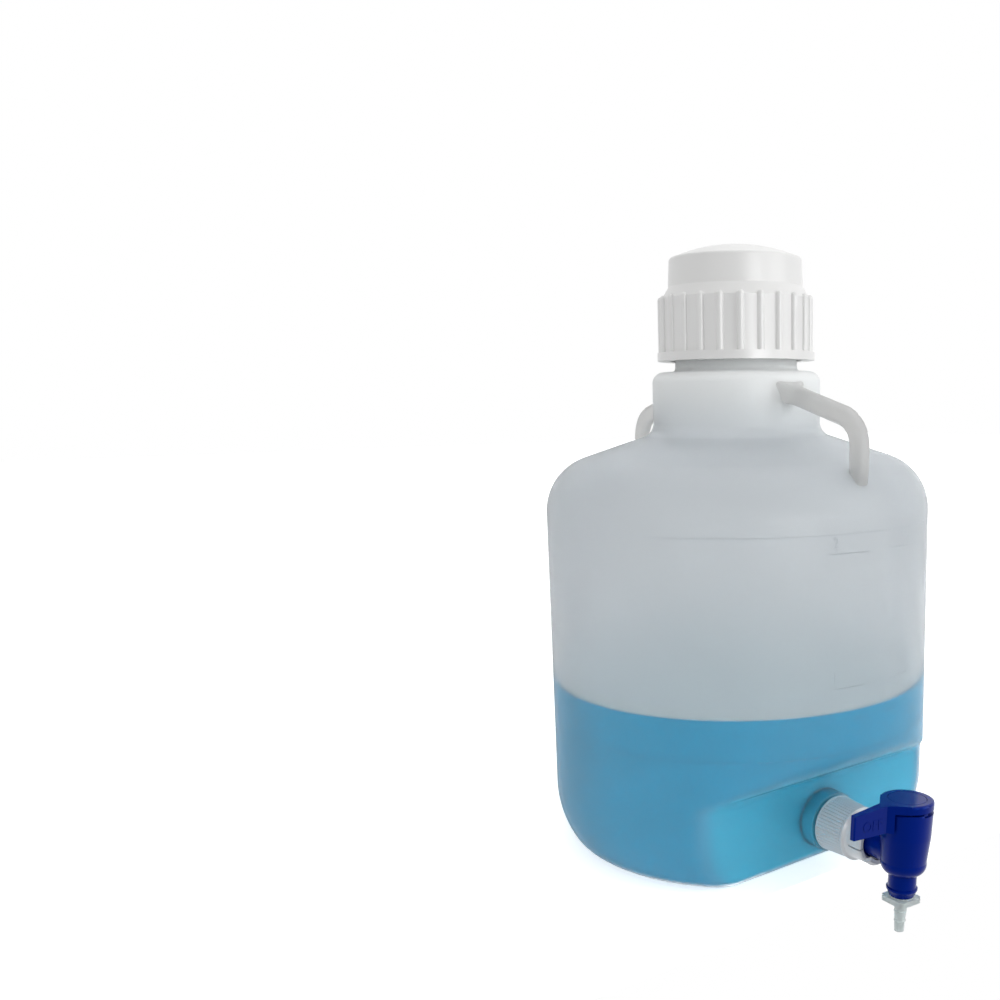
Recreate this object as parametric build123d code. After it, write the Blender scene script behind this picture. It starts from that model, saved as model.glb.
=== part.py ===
from build123d import *
import math
import os

# Carboy with spigot: a translucent blow-moulded bottle of about ten litres with two carrying
# handles, a ribbed screw cap, and a quarter-turn tap held by a collar nut in a flat recess at
# the foot. Millimetres, +Z up. The origin is the centre of the plane the bottle stands on,
# the spigot points along -Y and both handles lie in the YZ plane.

# ---------------------------------------------------------------- bottle
body_radius = 125.0
wall = 2.6
base_sweep_radius = 60.0        # large arc from the side wall in towards the foot
base_sweep_angle = 30.0
base_corner_radius = 12.0       # tighter arc from that sweep to the standing ring
base_dome_radius = 90.0         # inside this radius the underside is pushed up
base_dome_rise = 4.0
side_wall_top = 217.0
shoulder_radius = 36.0
shoulder_slope = 18.5
boss_radius = 54.6              # the drum between the shoulder and the neck
boss_foot_radius = 9.0
ledge_rise = 88.5               # from the top of the side wall up to the ledge
ledge_corner_radius = 7.0
neck_radius = 39.6
neck_root_radius = 3.0
neck_root_length = 10.5         # above this the neck drops to the thread core
thread_core_radius = 38.2
neck_length = 60.5              # from the ledge to the mouth
neck_wall = 3.2

ledge_height = side_wall_top + ledge_rise
neck_root_top = ledge_height + neck_root_length
mouth_height = ledge_height + neck_length

# ---------------------------------------------------------------- handles
handle_inset = 5.0              # the upright leg stands this far inside the bottle's side
handle_bar = 11.5               # width of the bar, seen from the side
handle_thickness = 8.4
handle_slope = 16.0
handle_bend_radius = 24.0       # outside of the bend between the arm and the leg
handle_drop = 8.0               # from the ledge down to where the arm leaves the boss
handle_edge_radius = 2.4
handle_flare_radius = 15.0      # of the hollows where the arm widens into the boss
handle_flare_width = 12.0       # how much wider the arm has become on each side there

handle_reach = body_radius - handle_inset

# ---------------------------------------------------------------- spigot recess and boss
panel_depth = 40.4              # from the side wall's line in to the flat panel
roof_height = 53.8              # where the sloping roof meets the panel
roof_slope = 28.4
recess_corner_radius = 5.0
inlet_height = 26.9             # axis of the spigot above the standing plane
spigot_boss_radius = 18.6
spigot_boss_length = 10.9
spigot_boss_foot = 2.0          # how far the boss flares where it meets the panel
spigot_boss_edge = 1.2
spigot_pad_radius = 26.0        # low round pad on the panel, under the boss
spigot_pad_rise = 0.8
stub_radius = 13.0              # thread core of the bottle's spigot stub
stub_length = 13.5
stub_bore_radius = 9.0

panel_distance = body_radius - panel_depth

# ---------------------------------------------------------------- contents
fill_height = 108.4
fill_clearance = 0.15

# ---------------------------------------------------------------- cap and liner
cap_skirt_reach = 53.6          # how far the cap comes down past the mouth
cap_flange_height = 5.3
cap_flange_radius = 50.9
skirt_radius = 47.9
skirt_drop = 15.0               # from the mouth down to the top of the ribbed skirt
skirt_bore_radius = 42.8
rib_count = 24
rib_radius = 2.3
rib_reach = 50.2                # bottle axis to the crest of a rib
rib_phase = 10.6
rib_top_gap = 0.4               # from the straight part of a rib up to the skirt's top
drum_radius = 43.4
drum_draft = 0.7                # how much smaller the drum is at its top
drum_drop = 7.5                 # from the mouth down to the foot of the plain drum
drum_rise = 10.8                # from the mouth up to the drum's rounded edge
drum_corner_radius = 2.0
drum_bore_radius = 40.4
drum_bore_edge = 1.0
skirt_bore_step = 4.0           # height over which the bore narrows from skirt to drum
dome_rise = 8.2                 # of the cap's domed top above that edge
cap_roof = 2.6
seal_ring_outer = 37.6
seal_ring_inner = 35.4
liner_radius = 40.0
liner_thickness = 2.6

cap_flange_bottom = mouth_height - cap_skirt_reach
skirt_top = mouth_height - skirt_drop
drum_bottom = mouth_height - drum_drop
drum_top = mouth_height + drum_rise

# ---------------------------------------------------------------- collar nut and gasket
collar_start_gap = 1.5          # between the bottle's spigot boss and the collar's rim
collar_rim_radius = 17.4
collar_rim_length = 1.4
collar_rib_root = 16.7
collar_rib_front_root = 15.5
collar_rib_depth = 0.6
collar_rib_count = 50
collar_rib_share = 0.9          # of each rib's pitch, taken up by the rib's foot
collar_crest_share = 0.3        # of the pitch, taken up by its crest
collar_skirt_length = 19.5
collar_bore_radius = 14.9
collar_web = 2.8                # the inner flange that presses on the gasket
collar_web_bore = 9.6
bead_radius = 16.4
bead_width = 3.0
bead_crest = 1.2                # width of the bead's flat top
sleeve_radius = 14.2
sleeve_foot = 0.6               # how far the sleeve flares where it meets the bead
sleeve_foot_length = 2.0
sleeve_edge = 0.8
sleeve_bore_radius = 11.8
sleeve_length = 13.0            # beyond the bead
snap_lip_bore = 10.2
snap_lip_width = 2.4
slit_width = 1.2
slit_length = 10.0
slit_tilt = 9.0                 # the two slits sit this far below the horizontal
lip_length = 4.0                # how far the lower half runs past the sleeve
lip_spread = 96.0
lip_taper = (1.6, 2.0)          # how far in and how far back the lip's outer edge slopes
lip_hook = 1.4                  # thickness of the hook at the lip's end
gasket_thickness = 2.0
gasket_inner_radius = 9.3
gasket_outer_radius = 12.8

# ---------------------------------------------------------------- tap
tap_reach = 69.8                # from the recess's panel to the barrel's axis
tap_lean = 3.5                  # the tap hangs a little off plumb
barrel_rim_height = 27.6        # heights here are from the inlet axis
barrel_rim_radius = 15.6
barrel_waist_height = 12.0
barrel_waist_radius = 15.1
barrel_rim_edge = 0.6
barrel_foot_height = -3.5
barrel_foot_radius = 13.4
barrel_foot_bulge = 1.9         # how far the rounding under the barrel stands out of its chord
barrel_bottom = -11.4
plug_bore_radius = 10.6
plug_bore_floor = -8.0
outlet_radius = 8.35
outlet_bore_radius = 6.2
outlet_end = -24.8
outlet_bead_height = -20.4
outlet_bead_radius = 9.2
outlet_bead_width = 2.0
outlet_end_radius = 7.4
inlet_tube_radius = 9.2
inlet_nose_radius = 8.3
inlet_bore_radius = 5.4
inlet_nose_edge = 0.8
inlet_nose_reach = 12.0         # how far the nose goes into the bottle's stub
snap_ring_radius = 11.4
snap_ring_width = 2.6
snap_ring_gap = 0.3
seal_groove_radius = 6.6
seal_groove_width = 2.6
seal_groove_place = 3.2         # from the nose's end to the middle of the groove
seal_clearance = 0.05

plug_clearance = 0.1
plug_floor_gap = 0.2
plug_wall = 4.7
plug_port_radius = 4.6
plug_top = 26.4
plug_seal_height = 14.0
plug_groove_depth = 1.6
plug_groove_width = 2.2
stem_width = 11.0
stem_top = 31.6

lever_gap = 1.0                 # between the barrel's rim and the lever's hub
hub_radius = 15.7
hub_top = 33.6
hub_edge = 1.3
hub_foot_edge = 0.4
blade_reach = 43.6
blade_bottom = 17.4
blade_tip_top = 31.2
blade_tip_width = 3.6
blade_root_width = 6.2
blade_root_reach = 19.6         # where the web from the hub has narrowed to that width
web_width = 25.0                # the web's width where it leaves the hub
web_reach = 9.4
blade_clearance = 0.6           # between the blade and the barrel
stop_inner_radius = 13.0        # the hub's stop lug runs in a notch in the barrel's rim
stop_angle = 14.0
stop_place = -95.0              # where the lug starts when the tap is shut, turned from +X
stop_depth = 1.8                # from the hub's underside down to the lug's foot
stop_clearance = 0.3
quarter_turn = 90.0
cover_radius = 11.3
cover_depth = 1.8
cover_gap = 0.15
cover_edge = 0.3

# ---------------------------------------------------------------- hose barb
barb_spigot_clearance = 0.1
barb_spigot_length = 9.0
barb_plate_gap = 0.8
barb_plate_side = 17.2
barb_plate_corner = 2.6
barb_plate_thickness = 3.2
barb_neck_radius = 6.8
barb_root_radius = 3.9
barb_tip_radius = 2.8
barb_length = 18.2
barb_ridge_depths = (5.8, 11.6)
barb_ridge_height = 0.35
barb_ridge_slopes = (0.5, 0.9)  # length of a ridge above and below its crest
barb_bore_radius = 1.7

tap_distance = panel_distance + tap_reach
ACROSS = 4 * body_radius        # longer than anything it cuts
OVERLAP = 1.0                   # how far joined forms and cutters run into each other


# ---------------------------------------------------------------- helpers
def turned(*outline):
    """A solid turned about Z from a closed (radius, height) outline."""
    face = make_face(Polyline(*[(r, 0, h) for r, h in outline], close=True))
    return revolve(face, Axis.Z)


def turned_curves(curves):
    """A solid turned about Z from curves that close into one half outline in the XZ plane."""
    edges = [edge for curve in curves for edge in curve.edges()]
    return revolve(make_face(edges), Axis.Z)


def ring(inner, outer, bottom, top):
    """A plain ring about Z."""
    return turned((inner, bottom), (outer, bottom), (outer, top), (inner, top))


def torus_band(mid_radius, section, height):
    """An O-ring about Z."""
    return Pos(0, 0, height) * Torus(mid_radius, section / 2)


def along_inlet(shape):
    """Lays a shape built about Z along the spigot's axis: its height becomes the distance
    from the bottle's axis and its +Y becomes up."""
    return Pos(0, 0, inlet_height) * Rot(90, 0, 0) * shape


def at_tap(shape):
    """Places a shape from the tap's own frame: origin where the barrel's axis crosses the
    spigot's axis, +Z up the barrel, +Y towards the bottle."""
    return Pos(0, -tap_distance, inlet_height) * Rot(0, tap_lean, 0) * shape


def polar(radius, degrees):
    angle = math.radians(degrees)
    return radius * math.cos(angle), radius * math.sin(angle)


def dome_height(edge, rise, radius):
    """Height of a spherical dome above its edge, at a radius from its axis."""
    sphere = (edge ** 2 + rise ** 2) / (2 * rise)
    return rise - sphere + math.sqrt(sphere ** 2 - radius ** 2)


def bulging_arc(start, end, bulge):
    """An arc in the XZ plane that stands out of its chord by bulge, on the chord's left."""
    along = Vector(*end) - Vector(*start)
    side = Vector(-along.Z, 0, along.X).normalized()
    middle = (Vector(*start) + Vector(*end)) / 2 + side * bulge
    return ThreePointArc(start, middle, end)


# ---------------------------------------------------------------- bottle
def bottle_outline(inset):
    """Half outline of the bottle below the ledge, moved inwards by inset."""
    sweep = base_sweep_radius - inset
    corner = base_corner_radius - inset
    sweep_x = body_radius - base_sweep_radius
    turn = math.radians(base_sweep_angle)
    drop = base_sweep_radius - base_corner_radius
    corner_x = sweep_x + drop * math.cos(turn)
    corner_z = base_corner_radius
    sweep_z = corner_z + drop * math.sin(turn)

    slope = math.radians(shoulder_slope)
    bend = shoulder_radius - inset
    bend_x = body_radius - shoulder_radius

    foot = boss_foot_radius + inset
    foot_x = boss_radius + boss_foot_radius
    cone_x = bend_x + shoulder_radius * math.sin(slope)
    cone_z = side_wall_top + shoulder_radius * math.cos(slope)
    touch_x = foot_x - boss_foot_radius * math.sin(slope)
    touch_z = cone_z + (cone_x - touch_x) * math.tan(slope)
    foot_z = touch_z + boss_foot_radius * math.cos(slope)

    def arc(x, z, radius, first, middle, last):
        points = [polar(radius, degrees) for degrees in (first, middle, last)]
        return ThreePointArc(*[(x + a, 0, z + b) for a, b in points])

    lower = arc(sweep_x, sweep_z, sweep, 0, -base_sweep_angle / 2, -base_sweep_angle)
    tight = arc(corner_x, corner_z, corner, -base_sweep_angle, -base_sweep_angle / 2 - 45, -90)
    shoulder = arc(bend_x, side_wall_top, bend, 90 - shoulder_slope, 45 - shoulder_slope / 2, 0)
    root = arc(foot_x, foot_z, foot, 180, 225 - shoulder_slope / 2, 270 - shoulder_slope)
    base_mid_rise = dome_height(base_dome_radius, base_dome_rise, base_dome_radius / 2)
    dome = ThreePointArc(
        (base_dome_radius, 0, inset),
        (base_dome_radius / 2, 0, inset + base_mid_rise),
        (0, 0, inset + base_dome_rise))
    return dome, tight, lower, shoulder, root


def bottle_form(inset):
    """The bottle's solid form, moved inwards by inset: the outside at 0, the cavity at the
    wall's thickness. The cavity's neck is open at the mouth."""
    dome, tight, lower, shoulder, root = bottle_outline(inset)
    ledge = ledge_height - inset
    ledge_corner = ledge_corner_radius - inset
    boss = boss_radius - inset
    bore = thread_core_radius - neck_wall
    neck = neck_radius if inset == 0 else bore
    turn = math.sqrt(0.5)
    edge = ThreePointArc(
        (boss, 0, ledge - ledge_corner),
        (boss - ledge_corner * (1 - turn), 0, ledge - ledge_corner * (1 - turn)),
        (boss - ledge_corner, 0, ledge))
    outline = [
        dome,
        Line(dome @ 0, tight @ 1),
        tight,
        lower,
        Line(lower @ 0, shoulder @ 1),
        shoulder,
        Line(shoulder @ 0, root @ 1),
        root,
        Line(root @ 0, edge @ 0),
        edge,
        Line(edge @ 1, (neck, 0, ledge)),
        Line((neck, 0, ledge), (neck, 0, neck_root_top)),
        Line((neck, 0, neck_root_top), (0, 0, neck_root_top)),
        Line((0, 0, neck_root_top), dome @ 1),
    ]
    form = turned_curves(outline)
    return form - recess_tool(inset)


def recess_tool(inset):
    """What the spigot recess takes off the bottle's form: everything beyond the flat panel
    and under the sloping roof."""
    slope = math.radians(roof_slope)
    panel = -(panel_distance - inset)
    roof = roof_height + inset / math.cos(slope) - inset * math.tan(slope)
    reach = body_radius + wall
    roof_end = roof + (reach + panel) * math.tan(slope)
    path = Polyline(
        (0, panel, -reach),
        (0, panel, roof),
        (0, -reach, roof_end),
        (0, -reach, -reach),
        close=True)
    side = make_face(path)
    corner = side.vertices().sort_by_distance((0, panel, roof))[0]
    side = fillet(corner, recess_corner_radius + inset)
    return extrude(side, ACROSS / 2, dir=(1, 0, 0), both=True)


def handle_flare_plan():
    """Where the arm widens into the boss, seen from above: two hollows that end tangent to
    the arm's sides."""
    narrow = handle_thickness / 2 - handle_edge_radius
    wide = narrow + handle_flare_width
    swing = math.acos(1 - handle_flare_width / handle_flare_radius)
    inner = math.sqrt(boss_radius ** 2 - wide ** 2)
    outer = inner + handle_flare_radius * math.sin(swing)
    centre = narrow + handle_flare_radius

    def hollow_point(share):
        angle = swing * share
        x = centre - handle_flare_radius * math.cos(angle)
        return x, outer - handle_flare_radius * math.sin(angle)

    right = [hollow_point(share) for share in (0, 0.5, 1)]
    left = [(-x, y) for x, y in right]
    middle = neck_radius + OVERLAP
    return make_face([
        *ThreePointArc(*right).edges(),
        *Polyline(right[2], (wide, middle), (-wide, middle), left[2]).edges(),
        *ThreePointArc(*left).edges(),
        *Line(left[0], right[0]).edges()])


def handle():
    """One strap handle, built on the +Y side: a sloping arm from the boss, an outside bend
    and a leg down into the shoulder."""
    slope = math.tan(math.radians(handle_slope))
    root_z = ledge_height - handle_drop
    start = neck_radius
    inner_reach = handle_reach - handle_bar
    thick = handle_bar / math.cos(math.radians(handle_slope))

    def arm_z(y, below=0.0):
        return root_z - (y - boss_radius) * slope - below

    leg_end = side_wall_top
    corners = [
        (0, start, arm_z(start)),
        (0, handle_reach, arm_z(handle_reach)),
        (0, handle_reach, leg_end),
        (0, inner_reach, leg_end),
        (0, inner_reach, arm_z(inner_reach, thick)),
        (0, start, arm_z(start, thick)),
    ]
    side = make_face(Polyline(*corners, close=True))
    outer = side.vertices().sort_by_distance(corners[1])[0]
    side = fillet(outer, handle_bend_radius)
    inner = side.vertices().sort_by_distance(corners[4])[0]
    side = fillet(inner, handle_bend_radius - handle_bar)
    half = handle_thickness / 2
    bar = extrude(side, half, dir=(1, 0, 0), both=True)
    long_edges = [e for e in bar.edges() if abs(abs(e.center().X) - half) < 0.01]
    bar = fillet(long_edges, handle_edge_radius)
    root = extrude(side, half + handle_flare_width, dir=(1, 0, 0), both=True)
    root &= extrude(handle_flare_plan(), ACROSS / 2, dir=(0, 0, 1), both=True)
    return bar + root


def boss_room(inset):
    """The hollow inside the spigot boss, along Z, moved inwards by inset from its outside."""
    return ring(
        0, spigot_boss_radius - inset,
        panel_distance - 2 * wall, panel_distance + spigot_boss_length - inset)


def carboy_body():
    outside = bottle_form(0)
    mouth = turned(
        (0, neck_root_top - OVERLAP),
        (neck_radius, neck_root_top - OVERLAP),
        (neck_radius, neck_root_top),
        (thread_core_radius, neck_root_top + neck_radius - thread_core_radius),
        (thread_core_radius, mouth_height),
        (0, mouth_height))
    outside += mouth
    rim = [e for e in outside.edges().filter_by(GeomType.CIRCLE)
           if abs(e.center().Z - ledge_height) < 0.01 and abs(e.radius - neck_radius) < 0.01]
    outside = fillet(rim, neck_root_radius)
    outside += handle()
    outside += mirror(handle(), Plane.XZ)

    panel = panel_distance
    boss_end = panel + spigot_boss_length
    boss = turned(
        (0, panel - wall / 2),
        (spigot_pad_radius, panel - wall / 2),
        (spigot_pad_radius, panel),
        (spigot_pad_radius - spigot_pad_rise, panel + spigot_pad_rise),
        (spigot_boss_radius + spigot_boss_foot, panel + spigot_pad_rise),
        (spigot_boss_radius, panel + spigot_pad_rise + spigot_boss_foot),
        (spigot_boss_radius, boss_end - spigot_boss_edge),
        (spigot_boss_radius - spigot_boss_edge, boss_end),
        (stub_radius, boss_end),
        (stub_radius, boss_end + stub_length),
        (0, boss_end + stub_length))
    outside += along_inlet(boss)

    cavity = bottle_form(wall)
    cavity += Pos(0, 0, neck_root_top - OVERLAP) * Cylinder(
        thread_core_radius - neck_wall, ACROSS, align=(Align.CENTER, Align.CENTER, Align.MIN))
    bore = Pos(0, 0, panel - 2 * wall) * Cylinder(
        stub_bore_radius, ACROSS, align=(Align.CENTER, Align.CENTER, Align.MIN))
    return outside - cavity - along_inlet(boss_room(wall) + bore)


def liquid():
    """The fill: the cavity up to the fill line, a hair clear of the walls."""
    form = bottle_form(wall + fill_clearance) + along_inlet(boss_room(wall + fill_clearance))
    keep = Pos(0, 0, fill_height) * Box(
        ACROSS, ACROSS, ACROSS, align=(Align.CENTER, Align.CENTER, Align.MAX))
    return form & keep


# ---------------------------------------------------------------- cap
def cap():
    bottom = cap_flange_bottom
    flange_top = bottom + cap_flange_height
    drum_top_radius = drum_radius - drum_draft
    corner_start = (drum_top_radius, 0, drum_top - drum_corner_radius)
    corner_turn = drum_corner_radius * (1 - math.sqrt(0.5))
    corner_middle = (drum_top_radius - corner_turn, 0, drum_top - corner_turn)
    dome_edge = drum_top_radius - drum_corner_radius
    bore_edge = drum_bore_radius - drum_bore_edge
    liner_top = mouth_height + liner_thickness

    def over_dome(radius):
        return (radius, 0, drum_top + dome_height(dome_edge, dome_rise, radius))

    def under_dome(radius):
        return (radius, 0, drum_top - cap_roof + dome_height(dome_edge, dome_rise, radius))

    outline = [
        Polyline(
            (skirt_bore_radius, 0, bottom),
            (cap_flange_radius, 0, bottom),
            (cap_flange_radius, 0, flange_top),
            (skirt_radius, 0, flange_top),
            (skirt_radius, 0, skirt_top),
            (drum_radius, 0, drum_bottom),
            corner_start),
        ThreePointArc(corner_start, corner_middle, over_dome(dome_edge)),
        ThreePointArc(over_dome(dome_edge), over_dome(dome_edge / 2), over_dome(0)),
        Line(over_dome(0), under_dome(0)),
        ThreePointArc(under_dome(0), under_dome(seal_ring_inner / 2), under_dome(seal_ring_inner)),
        Polyline(
            under_dome(seal_ring_inner),
            (seal_ring_inner, 0, liner_top),
            (seal_ring_outer, 0, liner_top),
            under_dome(seal_ring_outer),
            under_dome(bore_edge),
            (drum_bore_radius, 0, under_dome(bore_edge)[2] - drum_bore_edge),
            (drum_bore_radius, 0, skirt_top),
            (skirt_bore_radius, 0, skirt_top - skirt_bore_step),
            (skirt_bore_radius, 0, bottom)),
    ]
    shell = turned_curves(outline)

    rib_place = rib_reach - rib_radius
    rib_end = skirt_top - rib_top_gap
    rib = Pos(rib_place, 0, flange_top - OVERLAP) * Cylinder(
        rib_radius, rib_end - flange_top + OVERLAP,
        align=(Align.CENTER, Align.CENTER, Align.MIN))
    rib += Pos(rib_place, 0, rib_end) * Sphere(rib_radius)
    rib -= Pos(0, 0, bottom) * Cylinder(
        skirt_bore_radius, skirt_top - bottom, align=(Align.CENTER, Align.CENTER, Align.MIN))
    return shell + [Rot(0, 0, rib_phase + 360 / rib_count * k) * rib for k in range(rib_count)]


def cap_liner():
    return ring(0, liner_radius, mouth_height, mouth_height + liner_thickness)


# ---------------------------------------------------------------- collar nut
stub_end = panel_distance + spigot_boss_length + stub_length
collar_start = panel_distance + spigot_boss_length + collar_start_gap
web_start = stub_end + gasket_thickness
skirt_end = collar_start + collar_skirt_length
bead_end = skirt_end + bead_width
sleeve_end = bead_end + sleeve_length


def ribbed_cone():
    """The collar's grip: fine ribs that shrink a little towards the tap."""
    step = 360 / collar_rib_count
    foot = step * collar_rib_share
    slant = (foot - step * collar_crest_share) / 2

    def star(height, root):
        crest = root + collar_rib_depth
        points = []
        for k in range(collar_rib_count):
            for radius, turn in ((root, 0), (crest, slant), (crest, foot - slant), (root, foot)):
                x, y = polar(radius, k * step + turn)
                points.append((x, y, height))
        return make_face(Polyline(*points, close=True))

    back = star(collar_start + collar_rim_length, collar_rib_root)
    front = star(skirt_end, collar_rib_front_root)
    return loft([back, front], ruled=True)


def collar_lip():
    """The lower edge of the sleeve, which runs further out than the rest and hooks inwards."""
    lip_end = sleeve_end + lip_length
    taper_in, taper_back = lip_taper
    hook = sleeve_bore_radius - snap_lip_bore
    edge = turned(
        (snap_lip_bore, sleeve_end - OVERLAP),
        (sleeve_radius, sleeve_end - OVERLAP),
        (sleeve_radius, lip_end - taper_back),
        (sleeve_radius - taper_in, lip_end),
        (snap_lip_bore, lip_end),
        (snap_lip_bore, lip_end - lip_hook),
        (sleeve_bore_radius, lip_end - lip_hook - hook),
        (sleeve_bore_radius, sleeve_end),
        (snap_lip_bore, sleeve_end))
    reach = 3 * sleeve_radius
    left = polar(reach, -90 - lip_spread / 2)
    right = polar(reach, -90 + lip_spread / 2)
    sector = make_face(Polyline((0, 0), left, (0, -2 * reach), right, close=True))
    sector = extrude(Pos(0, 0, sleeve_end - OVERLAP) * sector, lip_length + 2 * OVERLAP)
    return edge & sector


def spigot_collar():
    rim = ring(0, collar_rim_radius, collar_start, collar_start + collar_rim_length)
    bead_slope = (bead_width - bead_crest) / 2
    sleeve = turned(
        (0, skirt_end),
        (collar_rib_front_root, skirt_end),
        (bead_radius, skirt_end + bead_slope),
        (bead_radius, bead_end - bead_slope),
        (sleeve_radius + sleeve_foot, bead_end),
        (sleeve_radius, bead_end + sleeve_foot_length),
        (sleeve_radius, sleeve_end - sleeve_edge),
        (sleeve_radius - sleeve_edge, sleeve_end),
        (0, sleeve_end))
    nut = rim + ribbed_cone() + sleeve + collar_lip()

    web_end = web_start + collar_web
    thread_bore = ring(0, collar_bore_radius, collar_start - OVERLAP, web_start)
    web_bore = ring(0, collar_web_bore, web_start - OVERLAP, web_end + OVERLAP)
    snap_bore = turned(
        (0, web_end),
        (sleeve_bore_radius, web_end),
        (sleeve_bore_radius, sleeve_end - snap_lip_width),
        (snap_lip_bore, sleeve_end - snap_lip_width),
        (snap_lip_bore, sleeve_end - snap_lip_width / 2),
        (snap_lip_bore + snap_lip_width / 2, sleeve_end),
        (0, sleeve_end))
    nut = nut - thread_bore - web_bore - snap_bore
    for turn in (-slit_tilt, 180 + slit_tilt):
        slit = Pos(sleeve_radius, 0, sleeve_end) * Box(sleeve_radius, slit_width, 2 * slit_length)
        nut -= Rot(0, 0, turn) * slit
    return along_inlet(nut)


def spigot_gasket():
    return along_inlet(ring(gasket_inner_radius, gasket_outer_radius, stub_end, web_start))


# ---------------------------------------------------------------- tap
hub_bottom = barrel_rim_height + lever_gap
nose_end = stub_end - inlet_nose_reach
seal_place = nose_end + seal_groove_place
snap_ring_end = sleeve_end - snap_lip_width - snap_ring_gap


def stop_sector(inner, outer, start, end, bottom, top):
    """Part of a ring about the barrel's axis, between two angles turned from +X."""
    reach = 2 * outer
    middle = (start + end) / 2
    wedge = make_face(Polyline(
        (0, 0), polar(reach, start), polar(reach * 2, middle), polar(reach, end), close=True))
    wedge = extrude(Pos(0, 0, bottom) * wedge, top - bottom)
    return ring(inner, outer, bottom, top) & wedge


def tap_body():
    foot = (barrel_foot_radius, 0, barrel_foot_height)
    outlet_top = (outlet_radius, 0, barrel_bottom)
    outline = [
        Polyline(
            (0, 0, barrel_rim_height),
            (barrel_rim_radius - barrel_rim_edge, 0, barrel_rim_height),
            (barrel_rim_radius, 0, barrel_rim_height - barrel_rim_edge),
            (barrel_waist_radius, 0, barrel_waist_height),
            foot),
        bulging_arc(foot, outlet_top, barrel_foot_bulge),
        Polyline(
            outlet_top,
            (outlet_radius, 0, outlet_bead_height + outlet_bead_width / 2),
            (outlet_bead_radius, 0, outlet_bead_height + outlet_bead_width / 4),
            (outlet_bead_radius, 0, outlet_bead_height - outlet_bead_width / 4),
            (outlet_radius, 0, outlet_bead_height - outlet_bead_width),
            (outlet_end_radius, 0, outlet_end),
            (0, 0, outlet_end),
            (0, 0, barrel_rim_height)),
    ]
    barrel = turned_curves(outline)

    def inlet(*outline_points):
        """Turned about the spigot's axis; heights are distances from the bottle's axis."""
        shape = turned(*outline_points)
        return Pos(0, tap_distance, 0) * Rot(90, 0, 0) * shape

    ring_start = snap_ring_end - snap_ring_width
    guide_start = web_start + collar_web + snap_ring_gap
    tube = inlet(
        (0, nose_end),
        (inlet_nose_radius - inlet_nose_edge, nose_end),
        (inlet_nose_radius, nose_end + inlet_nose_edge),
        (inlet_nose_radius, seal_place - seal_groove_width / 2),
        (seal_groove_radius, seal_place - seal_groove_width / 2),
        (seal_groove_radius, seal_place + seal_groove_width / 2),
        (inlet_nose_radius, seal_place + seal_groove_width / 2),
        (inlet_nose_radius, guide_start),
        (snap_ring_radius, guide_start),
        (snap_ring_radius, guide_start + snap_ring_width),
        (inlet_tube_radius, guide_start + snap_ring_width),
        (inlet_tube_radius, ring_start),
        (snap_ring_radius, ring_start),
        (snap_ring_radius, snap_ring_end),
        (inlet_tube_radius, snap_ring_end),
        (inlet_tube_radius, tap_distance),
        (0, tap_distance))
    bore = inlet(
        (0, nose_end - OVERLAP),
        (inlet_bore_radius, nose_end - OVERLAP),
        (inlet_bore_radius, tap_distance),
        (0, tap_distance))
    plug_room = ring(0, plug_bore_radius, plug_bore_floor, barrel_rim_height + OVERLAP)
    outlet = ring(0, outlet_bore_radius, outlet_end - OVERLAP, plug_bore_floor + OVERLAP)
    gap_angle = math.degrees(stop_clearance / stop_inner_radius)
    notch = stop_sector(
        stop_inner_radius - stop_clearance, barrel_rim_radius + OVERLAP,
        stop_place - gap_angle, stop_place + stop_angle + quarter_turn + gap_angle,
        hub_bottom - stop_depth - stop_clearance, barrel_rim_height + OVERLAP)
    return at_tap(barrel + tube - bore - plug_room - outlet - notch)


def inlet_seal():
    middle = (seal_groove_radius + stub_bore_radius) / 2
    section = stub_bore_radius - seal_groove_radius - 2 * seal_clearance
    return along_inlet(torus_band(middle, section, seal_place))


plug_radius = plug_bore_radius - plug_clearance
plug_groove_radius = plug_radius - plug_groove_depth


def tap_plug():
    """The turning plug: its side port faces +X when the tap is shut, and a bore leads down."""
    floor = plug_bore_floor + plug_floor_gap
    groove_bottom = plug_seal_height - plug_groove_width / 2
    groove_top = plug_seal_height + plug_groove_width / 2
    body = turned(
        (0, floor),
        (plug_radius, floor),
        (plug_radius, groove_bottom),
        (plug_groove_radius, groove_bottom),
        (plug_groove_radius, groove_top),
        (plug_radius, groove_top),
        (plug_radius, plug_top),
        (0, plug_top))
    stem = Pos(0, 0, plug_top) * Box(
        stem_width, stem_width, stem_top - plug_top, align=(Align.CENTER, Align.CENTER, Align.MIN))
    down = ring(0, plug_radius - plug_wall, plug_bore_floor, plug_port_radius)
    side_port = Rot(0, 90, 0) * Cylinder(
        plug_port_radius, 2 * plug_radius, align=(Align.CENTER, Align.CENTER, Align.MIN))
    return at_tap(body + stem - down - side_port)


def plug_seal():
    inner = plug_groove_radius + seal_clearance
    outer = plug_bore_radius - seal_clearance
    return at_tap(torus_band((outer + inner) / 2, outer - inner, plug_seal_height))




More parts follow.
